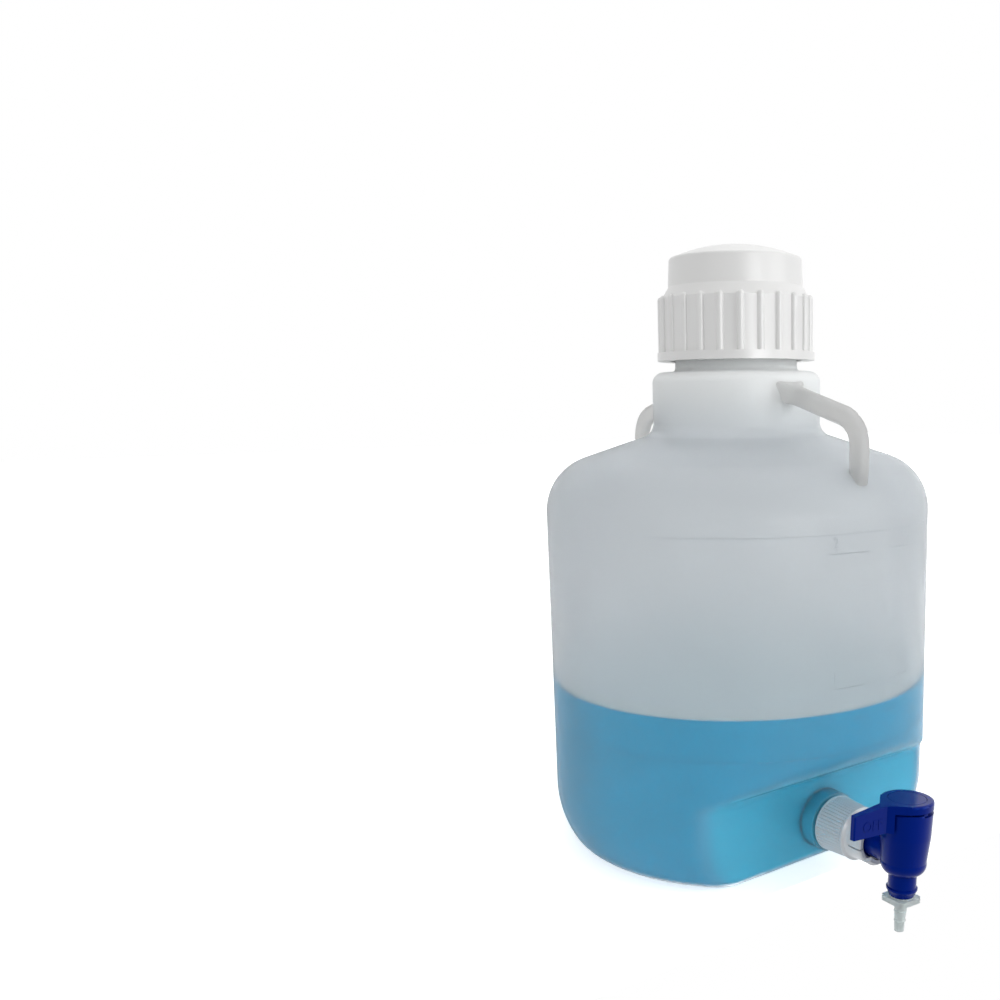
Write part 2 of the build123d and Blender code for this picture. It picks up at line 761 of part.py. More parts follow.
def lever_blade():
    """The thin blade that runs out from the hub along -X and hangs beside the barrel."""
    root = blade_root_width / 2
    tip = blade_tip_width / 2
    web = web_width / 2
    plan = make_face(Polyline(
        (0, -web), (-web_reach, -web), (-blade_root_reach, -root), (-blade_reach, -tip),
        (-blade_reach, tip), (-blade_root_reach, root), (-web_reach, web), (0, web), close=True))
    inner = barrel_rim_radius + blade_clearance
    side = make_face(Polyline(
        (0, 0, hub_bottom), (-inner, 0, hub_bottom), (-inner, 0, blade_bottom),
        (-blade_reach, 0, blade_bottom), (-blade_reach, 0, blade_tip_top),
        (-hub_radius, 0, hub_top), (0, 0, hub_top), close=True))
    plate = extrude(Pos(0, 0, blade_bottom) * plan, hub_top - blade_bottom)
    blade = plate & extrude(side, web_width, dir=(0, 1, 0), both=True)
    tip_edges = blade.edges().filter_by(Axis.Z).sort_by(Axis.X)[:2]
    blade = fillet(tip_edges, tip / 2)
    return blade - ring(0, inner, blade_bottom - OVERLAP, hub_bottom)


def tap_lever():
    """Hub disc and blade; shut, the blade points along -X."""
    hub = turned(
        (0, hub_bottom),
        (hub_radius - hub_foot_edge, hub_bottom),
        (hub_radius, hub_bottom + hub_foot_edge),
        (hub_radius, hub_top - hub_edge),
        (hub_radius - hub_edge * (1 - math.sqrt(0.5)), hub_top - hub_edge * (1 - math.sqrt(0.5))),
        (hub_radius - hub_edge, hub_top),
        (0, hub_top))
    socket = Pos(0, 0, stem_top) * Box(
        stem_width, stem_width, stem_top - plug_top, align=(Align.CENTER, Align.CENTER, Align.MAX))
    seat = ring(0, cover_radius + cover_gap, hub_top - cover_depth, hub_top + OVERLAP)
    lug = stop_sector(
        stop_inner_radius, hub_radius - hub_edge, stop_place, stop_place + stop_angle,
        hub_bottom - stop_depth, hub_bottom + OVERLAP)
    return at_tap(hub + lug + lever_blade() - socket - seat)


def lever_cover():
    bottom = hub_top - cover_depth
    return at_tap(turned(
        (0, bottom),
        (cover_radius, bottom),
        (cover_radius, hub_top - cover_edge),
        (cover_radius - cover_edge, hub_top),
        (0, hub_top)))


# ---------------------------------------------------------------- hose barb
def hose_barb():
    """A short spigot that pushes up into the outlet, a square plate and a ridged nozzle."""
    plate_top = outlet_end - barb_plate_gap
    plate_bottom = plate_top - barb_plate_thickness
    spigot_top = outlet_end + barb_spigot_length
    nozzle_end = plate_bottom - barb_length
    spigot_radius = outlet_bore_radius - barb_spigot_clearance
    spigot = ring(0, spigot_radius, plate_top - OVERLAP, spigot_top)
    neck = ring(0, barb_neck_radius, plate_top - OVERLAP, outlet_end)
    plate = Pos(0, 0, plate_bottom) * Box(
        barb_plate_side, barb_plate_side, barb_plate_thickness,
        align=(Align.CENTER, Align.CENTER, Align.MIN))
    plate = fillet(plate.edges().filter_by(Axis.Z), barb_plate_corner)

    draft = (barb_root_radius - barb_tip_radius) / barb_length
    above, below = barb_ridge_slopes
    outline = [(0, plate_bottom + OVERLAP), (barb_root_radius, plate_bottom + OVERLAP)]
    for depth in barb_ridge_depths:
        radius = barb_root_radius - draft * depth
        crest = plate_bottom - depth
        outline.append((radius, crest + above))
        outline.append((radius + barb_ridge_height, crest))
        outline.append((radius, crest - below))
    outline += [(barb_tip_radius, nozzle_end), (0, nozzle_end)]
    nozzle = turned(*outline)
    bore = ring(0, barb_bore_radius, nozzle_end - OVERLAP, spigot_top + OVERLAP)
    return at_tap(spigot + neck + plate + nozzle - bore)


# ---------------------------------------------------------------- export
nodes = {
    "carboy_body": carboy_body,
    "liquid": liquid,
    "cap": cap,
    "cap_liner": cap_liner,
    "spigot_gasket": spigot_gasket,
    "spigot_collar": spigot_collar,
    "inlet_seal": inlet_seal,
    "tap_body": tap_body,
    "tap_plug": tap_plug,
    "plug_seal": plug_seal,
    "tap_lever": tap_lever,
    "lever_cover": lever_cover,
    "hose_barb": hose_barb,
}

os.makedirs("parts", exist_ok=True)
for name, make in nodes.items():
    export_step(make(), f"parts/{name}.step")
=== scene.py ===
import math

import bmesh
import bpy
from mathutils import Matrix, Vector


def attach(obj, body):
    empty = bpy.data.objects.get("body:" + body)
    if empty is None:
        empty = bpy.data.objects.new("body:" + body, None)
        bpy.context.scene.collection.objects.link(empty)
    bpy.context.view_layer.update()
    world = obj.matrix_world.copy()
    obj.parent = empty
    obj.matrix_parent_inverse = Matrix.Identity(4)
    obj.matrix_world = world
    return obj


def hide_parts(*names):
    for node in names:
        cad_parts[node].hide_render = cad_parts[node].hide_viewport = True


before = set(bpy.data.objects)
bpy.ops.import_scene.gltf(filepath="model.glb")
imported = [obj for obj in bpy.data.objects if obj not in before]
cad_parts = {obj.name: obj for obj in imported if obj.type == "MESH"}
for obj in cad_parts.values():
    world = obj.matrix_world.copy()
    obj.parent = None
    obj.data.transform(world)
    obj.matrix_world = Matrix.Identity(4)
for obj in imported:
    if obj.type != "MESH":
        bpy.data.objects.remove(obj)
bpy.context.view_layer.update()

# A ten litre carboy with a spigot. Metres, in the part's frame: +Z up, the spigot along -Y, the
# handles in the YZ plane, the shut lever along -X. The blown bottle and its contents are
# modelled again here with soft moulded edges; the cap, collar and tap are the frame's own
# solids with finished materials, threads and lettering.

MM = 0.001

# ---------------------------------------------------------------- bottle sizes
BODY_RADIUS = 125 * MM
WALL = 2.6 * MM
SWEEP_RADIUS = 60 * MM
SWEEP_ANGLE = 30
CORNER_RADIUS = 12 * MM
DOME_RADIUS = 90 * MM
DOME_RISE = 4 * MM
SIDE_TOP = 217 * MM
SHOULDER_RADIUS = 36 * MM
SHOULDER_SLOPE = 18.5
BOSS_RADIUS = 54.6 * MM
BOSS_FOOT = 9 * MM
LEDGE_HEIGHT = 305.5 * MM
LEDGE_CORNER = 7 * MM
NECK_RADIUS = 39.6 * MM
NECK_FOOT = 3 * MM
NECK_STEP = 316 * MM
CORE_RADIUS = 38.2 * MM
MOUTH_HEIGHT = 366 * MM
MOUTH_EDGE = 0.9 * MM
NECK_WALL = 3.2 * MM
PALE_BELOW_LEDGE = 55 * MM      # the wall is thicker, so milkier, from here up to the neck; its colour is also lightened here, painted light that lifts the shade under the cap
PALE_ABOVE_LEDGE = 4 * MM

# ---------------------------------------------------------------- spigot recess
PANEL = 84.6 * MM
ROOF_HEIGHT = 53.8 * MM
ROOF_SLOPE = 28.4
RECESS_TOP = 82 * MM
EDGE_SOFTNESS = 11 * MM
EDGE_BAND = 6 * MM              # width of the milkier plastic along the recess's edge
CREASE_SOFTNESS = 7 * MM
FOOT_SOFTNESS = 5 * MM
INLET_HEIGHT = 26.9 * MM
STUB_BOSS_RADIUS = 18.6 * MM
STUB_BOSS_LENGTH = 10.9 * MM
STUB_BOSS_FOOT = 0.6 * MM
STUB_BOSS_SEAT = 0.3 * MM       # how far the boss is set into the panel's pad
STUB_BOSS_EDGE = 1.2 * MM
STUB_PAD_RADIUS = 26 * MM
STUB_PAD_RISE = 0.45 * MM
STUB_PAD_EDGE = 3.5 * MM
STUB_RADIUS = 13 * MM
STUB_LENGTH = 13.5 * MM
STUB_BORE = 9 * MM
STUB_TIP = 0.6 * MM

# ---------------------------------------------------------------- contents
FILL_HEIGHT = 108.4 * MM
WETTING = 1.3 * MM              # the contents run this far into the wall, so no air gap shows
MENISCUS_RISE = 1.0 * MM
MENISCUS_REACH = 3.0 * MM
MENISCUS_STEPS = 6
LEVEL = 0.99                    # faces whose normals have more of +Z than this are the surface

# ---------------------------------------------------------------- handles
HANDLE_REACH = 120 * MM
HANDLE_BAR = 11.5 * MM
HANDLE_THICKNESS = 8.4 * MM
HANDLE_SLOPE = 16
HANDLE_BEND = 24 * MM
HANDLE_DROP = 8 * MM
HANDLE_EDGE = 3.2 * MM
HANDLE_FLARE_RADIUS = 15 * MM
HANDLE_FLARE_WIDTH = 4 * MM
HANDLE_FLARE_SHARE = 0.98       # the most of its radius that a hollow turns through
HANDLE_FOOT_FLARE = 1.2 * MM
HANDLE_FOOT_TAPER = 3.6 * MM    # how far the leg's outer face leans in at its foot
HANDLE_FOOT_LENGTH = 12 * MM
HANDLE_SUNK = WALL / 2          # how far its ends reach into the wall
HANDLE_ROOT_START = BOSS_RADIUS - 4 * MM
HANDLE_CORNER_STEPS = 4

# ---------------------------------------------------------------- tap
TAP_DISTANCE = PANEL + 69.8 * MM
TAP_LEAN = math.radians(3.5)
BLADE_ROOT_X = -19.6 * MM
BLADE_TIP_X = -43.6 * MM
BLADE_ROOT_WIDTH = 6.2 * MM
BLADE_TIP_WIDTH = 3.6 * MM
WORD_MIDDLE = -30 * MM
WORD_LEVEL = 23.4 * MM
WORD_HEIGHT = 8.5 * MM
WORD_RISE = 0.3 * MM

# ---------------------------------------------------------------- threads
CAP_PITCH = 8 * MM
NECK_THREAD_DEPTH = 2.6 * MM
NECK_THREAD_WIDTH = 4.2 * MM
NECK_THREAD_TURNS = 2.6
NECK_THREAD_START = 334 * MM
CAP_BORE = 42.8 * MM
CAP_THREAD_DEPTH = 1.7 * MM
CAP_THREAD_WIDTH = 3.4 * MM
CAP_THREAD_TURNS = 1.9
CAP_THREAD_START = 330 * MM
COLLAR_PITCH = 3 * MM
STUB_THREAD_DEPTH = 1.3 * MM
STUB_THREAD_WIDTH = 2.2 * MM
STUB_THREAD_TURNS = 3.2
STUB_THREAD_GAP = 2 * MM        # from the spigot boss's end to the thread's start
COLLAR_BORE = 14.9 * MM
COLLAR_THREAD_DEPTH = 0.45 * MM
COLLAR_THREAD_WIDTH = 1.6 * MM
COLLAR_THREAD_TURNS = 3.0
COLLAR_THREAD_GAP = 3.2 * MM

# ---------------------------------------------------------------- moulded marks
# angles are in degrees about +Z, where -90 is the spigot's side
MARK_RISE = 0.10 * MM
MARK_WIDTH = 0.6 * MM
MARK_SINK = 0.1 * MM            # a ridge's foot lies this far under the wall's surface
MARK_STEP = 1.5                 # degrees between a ridge's sections
MOULD_LINE_RISE = 0.05 * MM
MOULD_LINE_WIDTH = 0.4 * MM
MOULD_LINE_ENDS = (-168, -12)
MOULD_LINES = (83.5 * MM, 212.6 * MM)
GALLON_LINE_ENDS = ((-103.6, -90.4), (-84.0, -70.0))
QUARTER_LINE_ENDS = ((-95.0, -90.6), (-84.2, -78.6))
QUARTER_LINES = (-1, 1, 2, 3)   # quarters of a gallon above or below the first gallon
NUMBER_ANGLE = -101.8
NUMBER_HEIGHT = 9 * MM
NUMBER_LIFT = 6.2 * MM
GALLON = 78.6 * MM              # height of one gallon of contents
GALLON_MARKS = (("1", 123.0 * MM), ("2", 201.6 * MM))

# ---------------------------------------------------------------- facets
AROUND = 288                    # round the bottle
AROUND_STUB = 96
AROUND_CAP_THREAD = 120
AROUND_STUB_THREAD = 72
DOUBLED = 1e-7                  # two points nearer than this, in metres, are one


# ---------------------------------------------------------------- outlines
def arc(centre, radius, first, last, count):
    """Points on an arc in the (radius, height) plane; angles in degrees from +R towards +Z."""
    points = []
    for k in range(count + 1):
        angle = math.radians(first + (last - first) * k / count)
        points.append((centre[0] + radius * math.cos(angle), centre[1] + radius * math.sin(angle)))
    return points


def straight(start, end, count):
    """Points along a straight line, both ends included."""
    return [(start[0] + (end[0] - start[0]) * k / count,
             start[1] + (end[1] - start[1]) * k / count) for k in range(count + 1)]


def chain(*stretches):
    """Joins stretches of points and drops the doubled ends."""
    joined = []
    for stretch in stretches:
        for point in stretch:
            if not joined or math.dist(joined[-1], point) > DOUBLED:
                joined.append(point)
    return joined


def dome(inset, count):
    """The underside's middle, pushed up, from the axis out to the standing ring."""
    sphere = (DOME_RADIUS ** 2 + DOME_RISE ** 2) / (2 * DOME_RISE)
    points = []
    for k in range(count + 1):
        r = DOME_RADIUS * k / count
        points.append((r, inset + DOME_RISE - sphere + math.sqrt(sphere ** 2 - r ** 2)))
    return points


def lower_outline(inset, top):
    """Half outline from the middle of the underside up the side wall to a height."""
    turn = math.radians(SWEEP_ANGLE)
    sweep_r = BODY_RADIUS - SWEEP_RADIUS
    step = SWEEP_RADIUS - CORNER_RADIUS
    corner = (sweep_r + step * math.cos(turn), CORNER_RADIUS)
    sweep = (sweep_r, CORNER_RADIUS + step * math.sin(turn))
    ring = straight((DOME_RADIUS, inset), (corner[0], inset), 8)
    tight = arc(corner, CORNER_RADIUS - inset, -90, -SWEEP_ANGLE, 12)
    lower = arc(sweep, SWEEP_RADIUS - inset, -SWEEP_ANGLE, 0, 16)
    side_r = BODY_RADIUS - inset
    beside_recess = straight((side_r, sweep[1]), (side_r, RECESS_TOP), 32)
    above_recess = straight((side_r, RECESS_TOP), (side_r, top), 16)
    return chain(dome(inset, 10), ring, tight, lower, beside_recess, above_recess)


def upper_outline(inset):
    """Half outline over the shoulder and up the boss to its ledge."""
    slope = math.radians(SHOULDER_SLOPE)
    bend = (BODY_RADIUS - SHOULDER_RADIUS, SIDE_TOP)
    shoulder = arc(bend, SHOULDER_RADIUS - inset, 0, 90 - SHOULDER_SLOPE, 18)
    foot_r = BOSS_RADIUS + BOSS_FOOT
    cone = (bend[0] + SHOULDER_RADIUS * math.sin(slope), SIDE_TOP + SHOULDER_RADIUS * math.cos(slope))
    touch_r = foot_r - BOSS_FOOT * math.sin(slope)
    touch_z = cone[1] + (cone[0] - touch_r) * math.tan(slope)
    foot = (foot_r, touch_z + BOSS_FOOT * math.cos(slope))
    root = arc(foot, BOSS_FOOT + inset, 270 - SHOULDER_SLOPE, 180, 10)
    sloping = straight(shoulder[-1], root[0], 6)
    corner = (BOSS_RADIUS - LEDGE_CORNER, LEDGE_HEIGHT - LEDGE_CORNER)
    edge = arc(corner, LEDGE_CORNER - inset, 0, 90, 8)
    return chain(shoulder, sloping, root, straight(root[-1], edge[0], 3), edge)


def neck_outline():
    """From the ledge up the neck, over the mouth's lip and down the bore to the inner ledge."""
    root = arc((NECK_RADIUS + NECK_FOOT, LEDGE_HEIGHT + NECK_FOOT), NECK_FOOT, 270, 180, 6)
    step = NECK_RADIUS - CORE_RADIUS
    bore = CORE_RADIUS - NECK_WALL
    top = MOUTH_HEIGHT - MOUTH_EDGE
    outer = [(NECK_RADIUS, NECK_STEP), (CORE_RADIUS, NECK_STEP + step), (CORE_RADIUS, top)]
    lip_out = arc((CORE_RADIUS - MOUTH_EDGE, top), MOUTH_EDGE, 0, 90, 4)
    lip_in = arc((bore + MOUTH_EDGE, top), MOUTH_EDGE, 90, 180, 4)
    down = straight((bore, top), (bore, LEDGE_HEIGHT - WALL), 4)
    return chain(root, outer, lip_out, lip_in, down)


# ---------------------------------------------------------------- recess
BESIDE = 0.05                   # a direction with less than this share of -Y misses the recess


def smaller(a, b, softness):
    """The smaller of two lengths, blended over a softness where they are alike."""
    mix = max(softness - abs(a - b), 0) / softness
    return min(a, b) - mix * mix * softness / 4


def pad_rise(x, z):
    """How far the low round pad about the spigot's axis stands out of the panel."""
    beyond = (math.hypot(x, z - INLET_HEIGHT) - STUB_PAD_RADIUS) / STUB_PAD_EDGE
    share = min(max(0.5 - beyond / 2, 0), 1)
    return STUB_PAD_RISE * share * share * (3 - 2 * share)


def pressed(r, z, angle, inset):
    """A point of the bottle's outline at an angle about +Z, pressed in by the spigot recess."""
    towards = -math.sin(angle)
    if towards < BESIDE:
        return r, z
    slope = math.radians(ROOF_SLOPE)
    panel = PANEL - inset
    roof = ROOF_HEIGHT + inset / math.cos(slope) - inset * math.tan(slope)
    under_roof = (z - roof) / math.tan(slope)
    mix = max(CREASE_SOFTNESS - abs(under_roof), 0) / CREASE_SOFTNESS
    beyond = max(under_roof, 0) + mix * mix * CREASE_SOFTNESS / 4
    limit = (panel + beyond) / towards
    soft = smaller(r, limit, EDGE_SOFTNESS) + pad_rise(r * math.cos(angle), z) / towards
    # the panel's foot is rounded like the rest of the base
    round_foot = FOOT_SOFTNESS - inset
    inward = soft - (limit - round_foot)
    height = z - inset
    if r > limit - round_foot and inward > 0 and height < round_foot and round_foot > 0:
        away = Vector((inward, height - round_foot))
        if away.length > round_foot:
            away = away.normalized() * round_foot
            return limit - round_foot + away.x, inset + round_foot + away.y
    return soft, z


def recess_place(x, y, z):
    """How far a point is outwards of the recess's face, and inwards of the body's side."""
    face = PANEL + max(z - ROOF_HEIGHT, 0) / math.tan(math.radians(ROOF_SLOPE))
    side = BODY_RADIUS
    sweep_top = CORNER_RADIUS + (SWEEP_RADIUS - CORNER_RADIUS) * math.sin(math.radians(SWEEP_ANGLE))
    if z < sweep_top:
        side += math.sqrt(max(SWEEP_RADIUS ** 2 - (sweep_top - z) ** 2, 0)) - SWEEP_RADIUS
    return -y - face, side - math.hypot(x, y)


def edge_share(x, y, z):
    """1 on the recess's outer edge, fading to 0 away from it."""
    if z > RECESS_TOP:
        return 0.0
    outwards, inwards = recess_place(x, y, z)
    above = max(0, 1 - abs(outwards) / EDGE_BAND)
    below = max(0, 1 - abs(inwards) / EDGE_BAND)
    return (above * below) ** 1.5


def panel_painted_light(x, y, z):
    """1 on the recess's flat panel, fading to 0 towards its outer edge: the share of painted light on
    the contents.
    """
    if z > RECESS_TOP:
        return 0.0
    outwards, inwards = recess_place(x, y, z)
    on_face = max(0, 1 - abs(outwards + WALL) / (4 * WALL))
    return on_face * min(max((inwards - WALL) / EDGE_BAND, 0), 1)


def paint(obj, name, share_of):
    """Stores a share from 0 to 1 at each vertex, for the materials."""
    shares = obj.data.attributes.new(name, "FLOAT", "POINT")
    for vertex in obj.data.vertices:
        shares.data[vertex.index].value = share_of(*vertex.co)


def swept_surface(outline, inset_of):
    """Vertices and faces of an outline turned about Z with the recess pressed into it."""
    verts, faces, rows = [], [], []
    for r, z in outline:
        if r < 1e-6:
            rows.append([len(verts)])
            verts.append((0, 0, z))
            continue
        row = []
        for k in range(AROUND):
            angle = 2 * math.pi * k / AROUND
            pr, pz = pressed(r, z, angle, inset_of(r, z))
            row.append(len(verts))
            verts.append((pr * math.cos(angle), pr * math.sin(angle), pz))
        rows.append(row)
    for low, high in zip(rows, rows[1:]):
        for k in range(AROUND):
            n = (k + 1) % AROUND
            if len(low) == 1:
                faces.append((low[0], high[n], high[k]))
            elif len(high) == 1:
                faces.append((low[k], low[n], high[0]))
            else:
                faces.append((low[k], low[n], high[n], high[k]))
    return verts, faces


# ---------------------------------------------------------------- pieces
SHARP = 40                      # edges bent by more degrees than this stay sharp


def piece(name, verts, faces, body, slot, material):
    """A mesh piece that rides on a body, with outward faces and smooth shading."""
    mesh = bpy.data.meshes.new(name)
    mesh.from_pydata([tuple(v) for v in verts], [], [tuple(f) for f in faces])
    obj = bpy.data.objects.new(name, mesh)
    bpy.context.scene.collection.objects.link(obj)
    work = bmesh.new()
    work.from_mesh(mesh)
    bmesh.ops.remove_doubles(work, verts=work.verts, dist=1e-6)
    bmesh.ops.dissolve_degenerate(work, edges=work.edges, dist=DOUBLED)
    bmesh.ops.recalc_face_normals(work, faces=work.faces)
    work.to_mesh(mesh)
    work.free()
    smooth(obj)
    mesh.materials.append(material)
    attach(obj, body)
    return obj


def smooth(obj):
    """Smooth shading that leaves sharp edges sharp."""
    obj.data.shade_smooth()
    work = bmesh.new()
    work.from_mesh(obj.data)
    limit = math.radians(SHARP)
    for edge in work.edges:
        edge.smooth = len(edge.link_faces) != 2 or edge.calc_face_angle() < limit
    work.to_mesh(obj.data)
    work.free()


def turned(outline, steps, place):
    """Vertices and faces of a closed (radius, height) outline turned about Z, then placed."""
    verts, faces = [], []
    count = len(outline)
    for k in range(steps):
        angle = 2 * math.pi * k / steps
        for r, z in outline:
            verts.append(place @ Vector((r * math.cos(angle), r * math.sin(angle), z)))
    for k in range(steps):
        n = (k + 1) % steps
        for i in range(count):
            j = (i + 1) % count
            faces.append((k * count + i, n * count + i, n * count + j, k * count + j))
    return verts, faces


def tube_faces(rows, around):
    """Faces of a closed tube through rows of points, with a flat face over each end."""
    faces = []
    for k in range(rows - 1):
        for i in range(around):
            j = (i + 1) % around
            faces.append((k * around + i, k * around + j, (k + 1) * around + j, (k + 1) * around + i))
    faces.append(tuple(range(around)))
    faces.append(tuple(range((rows - 1) * around, rows * around))[::-1])
    return faces


def ridge_section(foot, crest, width):
    """The four corners of a low ridge's trapezium, from one foot over the crest to the other."""
    return [(foot, -width / 2), (crest, -width / 5), (crest, width / 5), (foot, width / 2)]


# the spigot's axis: height becomes the distance from the bottle's axis along -Y
ALONG_INLET = Matrix.Translation((0, 0, INLET_HEIGHT)) @ Matrix.Rotation(math.pi / 2, 4, "X")


def helix_ridge(radius, depth, width, pitch, turns, start, steps, place=Matrix.Identity(4)):
    """A thread's ridge round a helix; its ends fade over a sixth of a turn.

    A depth under 0 points inwards, and the ridge's foot is sunk by a fifth of the depth.
    """
    verts = []
    total = int(turns * steps)
    fade = steps / 6
    root = radius - 0.2 * depth
    for k in range(total + 1):
        angle = 2 * math.pi * k / steps
        z = start + pitch * k / steps
        crest = radius + depth * min(1, k / fade, (total - k) / fade)
        for r, h in ridge_section(root, crest, width):
            verts.append(place @ Vector((r * math.cos(angle), r * math.sin(angle), z + h)))
    return verts, tube_faces(total + 1, 4)


# ---------------------------------------------------------------- materials
BOTTLE_COLOUR = (0.685, 0.705, 0.72)
# milkier plastic of the thick boss and neck, lightened further as painted light against the shade
# under the cap
NECK_MILK_AND_PAINTED_LIGHT_COLOUR = (0.92, 0.935, 0.935)
HANDLE_COLOUR = (0.67, 0.67, 0.665)
WATER_COLOUR = (0.008, 0.27, 0.455)
# painted light: the top of the contents painted pale, standing in for light reflected off the surface
WATER_TOP_PAINTED_LIGHT_COLOUR = (0.60, 0.72, 0.76)
# painted light: the contents' colour on the recessed panel, lighter to lift the recess's shade
PANEL_PAINTED_LIGHT_COLOUR = (0.02, 0.415, 0.61)
CAP_COLOUR = (0.755, 0.755, 0.75)
LINER_COLOUR = (0.78, 0.78, 0.76)
COLLAR_COLOUR = (0.66, 0.69, 0.72)
RUBBER_COLOUR = (0.02, 0.02, 0.022)
TAP_COLOUR = (0.0003, 0.010, 0.18)
TAP_GLOSS_COLOUR = (0.06, 0.24, 1.0, 1)
PLUG_COLOUR = (0.62, 0.65, 0.67)
BARB_COLOUR = (0.72, 0.78, 0.78)
MILKY_IOR = 1.2
MILKY_COAT = 0.25
MILKY_COAT_ROUGHNESS = 0.42
MILKY_SPREAD = 0.015
MILKY_GRAIN = 0.12
WATER_IOR = 1.33
BODY_CLEAR = 0.94               # share of light let through by the thin wall
NECK_CLEAR = 0.25
EDGE_CLEAR = 0.72
HANDLE_CLEAR = 0.6
MOTTLE_SCALE = 18               # colour patches per metre
GRAIN_SCALE = 900               # grains per metre
GRAIN_DEPTH = 0.2 * MM


def new_material(name):
    """A material with its node tree and its shader."""
    material = bpy.data.materials.new(name)
    material.use_nodes = True
    tree = material.node_tree
    shader = tree.nodes["Principled BSDF"]
    return material, tree, shader


def add(tree, kind, **values):
    """A new node, with values for its inputs or its own settings."""
    node = tree.nodes.new(kind)
    for key, value in values.items():
        if key in node.inputs:
            node.inputs[key].default_value = value
        else:
            setattr(node, key, value)
    return node


def mottled(tree, shader, colour, spread):
    """A base colour that drifts a little over the surface."""
    place = add(tree, "ShaderNodeTexCoord")
    noise = add(tree, "ShaderNodeTexNoise", Scale=MOTTLE_SCALE, Detail=4)
    ramp = add(tree, "ShaderNodeValToRGB")
    low, high = ramp.color_ramp.elements
    low.position = 0.3
    high.position = 0.7
    low.color = (*[c * (1 - spread) for c in colour], 1)
    high.color = (*[min(1, c * (1 + spread)) for c in colour], 1)
    tree.links.new(place.outputs["Object"], noise.inputs["Vector"])
    tree.links.new(noise.outputs["Fac"], ramp.inputs["Fac"])
    tree.links.new(ramp.outputs["Color"], shader.inputs["Base Color"])
    return place


def grained(tree, shader, place, strength):
    """Fine surface grain as bump."""
    noise = add(tree, "ShaderNodeTexNoise", Scale=GRAIN_SCALE, Detail=3)
    bump = add(tree, "ShaderNodeBump", Strength=strength, Distance=GRAIN_DEPTH)
    tree.links.new(place.outputs["Object"], noise.inputs["Vector"])
    tree.links.new(noise.outputs["Fac"], bump.inputs["Height"])
    tree.links.new(bump.outputs["Normal"], shader.inputs["Normal"])


def plastic(name, colour, roughness, grain=0.15, spread=0.03, **sockets):
    """A solid moulded plastic; extra values go to the shader's sockets of those names."""
    material, tree, shader = new_material(name)
    place = mottled(tree, shader, colour, spread)
    grained(tree, shader, place, grain)
    shader.inputs["Roughness"].default_value = roughness
    for key, value in sockets.items():
        shader.inputs[key.replace("_", " ")].default_value = value
    return material


def milky(name, colour, roughness, clear):
    """Translucent plastic, seen against the light."""
    material, tree, shader = new_material(name)
    place = mottled(tree, shader, colour, MILKY_SPREAD)
    grained(tree, shader, place, MILKY_GRAIN)
    shader.inputs["Roughness"].default_value = roughness
    shader.inputs["IOR"].default_value = MILKY_IOR
    shader.inputs["Transmission Weight"].default_value = clear
    shader.inputs["Coat Weight"].default_value = MILKY_COAT
    shader.inputs["Coat Roughness"].default_value = MILKY_COAT_ROUGHNESS
    return material, tree, shader, place


def blend_base(tree, shader, share, colour):
    """Turns the shader's base colour into another one, by a share."""
    mix = add(tree, "ShaderNodeMix", data_type="RGBA")
    first, second = [socket for socket in mix.inputs if socket.type == "RGBA"]
    tree.links.new(shader.inputs["Base Color"].links[0].from_socket, first)
    second.default_value = (*colour, 1)
    tree.links.new(share, mix.inputs["Factor"])
    mixed = [socket for socket in mix.outputs if socket.type == "RGBA"][0]
    tree.links.new(mixed, shader.inputs["Base Color"])


def ranged(tree, value, first, last, low, high):
    """Maps a value smoothly from one range to another."""
    level = add(tree, "ShaderNodeMapRange", interpolation_type="SMOOTHSTEP")
    for name, number in zip(("From Min", "From Max", "To Min", "To Max"), (first, last, low, high)):
        level.inputs[name].default_value = number
    tree.links.new(value, level.inputs["Value"])
    return level.outputs["Result"]


def make_bottle_plastic():
    """Milky plastic: paler in the thick boss and neck, and along the recess's edge; the paler colour
    on the boss and neck is also painted light that lifts the shade under the cap.
    """
    material, tree, shader, place = milky(
        "bottle_plastic", BOTTLE_COLOUR, roughness=0.85, clear=BODY_CLEAR)
    split = add(tree, "ShaderNodeSeparateXYZ")
    tree.links.new(place.outputs["Object"], split.inputs["Vector"])
    pale_from = LEDGE_HEIGHT - PALE_BELOW_LEDGE
    pale_to = LEDGE_HEIGHT + PALE_ABOVE_LEDGE
    neck = ranged(tree, split.outputs["Z"], pale_from, pale_to, 0, 1)
    # painted light: the boss and neck are lightened here, on top of the thicker plastic's real
    # milkiness
    blend_base(tree, shader, neck, NECK_MILK_AND_PAINTED_LIGHT_COLOUR)
    edge = add(tree, "ShaderNodeAttribute", attribute_name="edge_share")
    edge_loss = add(tree, "ShaderNodeMath", operation="MULTIPLY")
    edge_loss.inputs[1].default_value = BODY_CLEAR - EDGE_CLEAR
    tree.links.new(edge.outputs["Fac"], edge_loss.inputs[0])
    clear = ranged(tree, neck, 0, 1, BODY_CLEAR, NECK_CLEAR)
    rest = add(tree, "ShaderNodeMath", operation="SUBTRACT")
    tree.links.new(clear, rest.inputs[0])
    tree.links.new(edge_loss.outputs[0], rest.inputs[1])
    tree.links.new(rest.outputs[0], shader.inputs["Transmission Weight"])
    return material


def make_water():
    """Blue contents, painted paler on the recessed panel: painted light in place of the recess's
    shade.
    """
    material = plastic(
        "blue_water", WATER_COLOUR, roughness=0.06, grain=0.0, spread=0.05, IOR=WATER_IOR)
    tree = material.node_tree
    # painted light: the contents are lightened on the recessed panel, where the recess shades them
    panel = add(tree, "ShaderNodeAttribute", attribute_name="panel_painted_light")
    blend_base(tree, tree.nodes["Principled BSDF"], panel.outputs["Fac"], PANEL_PAINTED_LIGHT_COLOUR)
    return material


